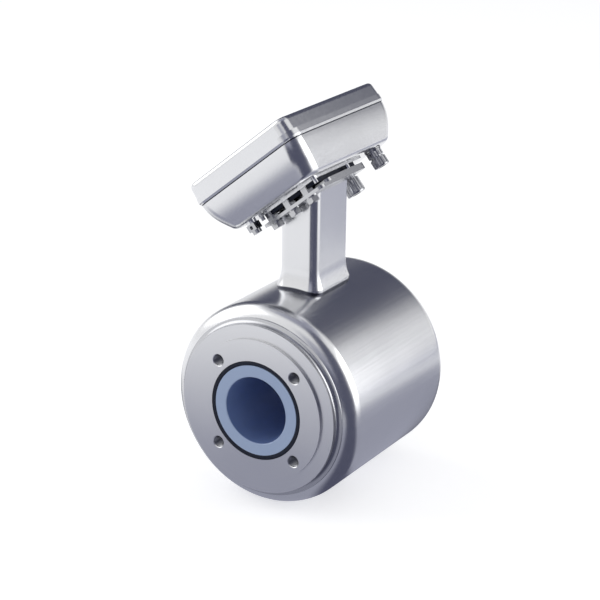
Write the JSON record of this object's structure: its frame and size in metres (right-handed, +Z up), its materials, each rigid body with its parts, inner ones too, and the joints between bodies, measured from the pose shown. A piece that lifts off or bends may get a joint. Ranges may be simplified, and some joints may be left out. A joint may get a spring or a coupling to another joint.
{
  "type": "electromagnetic flow meter",
  "caption": "Electromagnetic flow meter: lined tube in a round welded steel housing, with a compact transmitter head that leans back on a flared rectangular neck.",
  "frame": {"origin": "middle of the lined bore", "axes": "+Y along the flow axis from the inlet end to the outlet end, +Z up through the neck, +X to the side that the head rises towards"},
  "size_m": [0.1432, 0.147, 0.2724],
  "materials": {
    "polished_stainless": "polished stainless steel",
    "brushed_stainless": "finely brushed stainless steel",
    "liner_plastic": "smooth pale blue fluoroplastic",
    "black_rubber": "smooth black rubber",
    "electrode_alloy": "fine turned alloy",
    "white_plastic": "moulded white plastic",
    "fastener_steel": "bright stainless steel",
    "soft_iron": "dark soft iron",
    "copper_winding": "enamelled copper winding",
    "window_glass": "clear toughened glass",
    "display_dark": "dark display surface",
    "board_green": "green circuit board lacquer",
    "plated_brass": "nickel plated brass",
    "terminal_plastic": "moulded green plastic"
  },
  "bodies": {
    "root": {"board_screws": "fastener_steel", "board_standoffs": "plated_brass", "cover": "brushed_stainless", "cover_gasket": "black_rubber", "cover_screws": "fastener_steel", "display_board": "board_green", "display_posts": "plated_brass", "display_screen": "display_dark", "display_window": "window_glass", "earth_clamp": "plated_brass", "earth_screw": "fastener_steel", "electrode_bushes": "white_plastic", "electrode_nuts": "fastener_steel", "electrode_springs": "fastener_steel", "flange_bolts": "fastener_steel", "flange_gasket": "black_rubber", "flange_spacers": "fastener_steel", "flange_washers": "fastener_steel", "full_pipe_electrode": "electrode_alloy", "gland_washers": "fastener_steel", "housing_shell": "polished_stainless", "inlet_closing_ring": "polished_stainless", "inlet_end_plate": "polished_stainless", "inlet_seal": "black_rubber", "inlet_shoulder": "polished_stainless", "left_electrode": "electrode_alloy", "liner": "liner_plastic", "lower_bobbin": "white_plastic", "lower_coil": "copper_winding", "lower_core": "soft_iron", "lower_pole_shoe": "soft_iron", "main_board": "board_green", "measuring_tube": "polished_stainless", "neck": "brushed_stainless", "neck_flange": "brushed_stainless", "neck_grommet": "black_rubber", "outlet_closing_ring": "polished_stainless", "outlet_end_plate": "polished_stainless", "outlet_seal": "black_rubber", "outlet_shoulder": "polished_stainless", "power_gland_body": "plated_brass", "power_gland_nut": "plated_brass", "power_gland_seal": "black_rubber", "reference_electrode": "electrode_alloy", "right_electrode": "electrode_alloy", "signal_gland_body": "plated_brass", "signal_gland_nut": "plated_brass", "signal_gland_seal": "black_rubber", "terminal_blocks": "terminal_plastic", "terminal_board": "board_green", "transmitter_pan": "brushed_stainless", "upper_bobbin": "white_plastic", "upper_coil": "copper_winding", "upper_core": "soft_iron", "upper_pole_shoe": "soft_iron", "window_frame": "white_plastic", "window_gasket": "black_rubber", "yoke_ring": "soft_iron"}
  },
  "joints": []
}
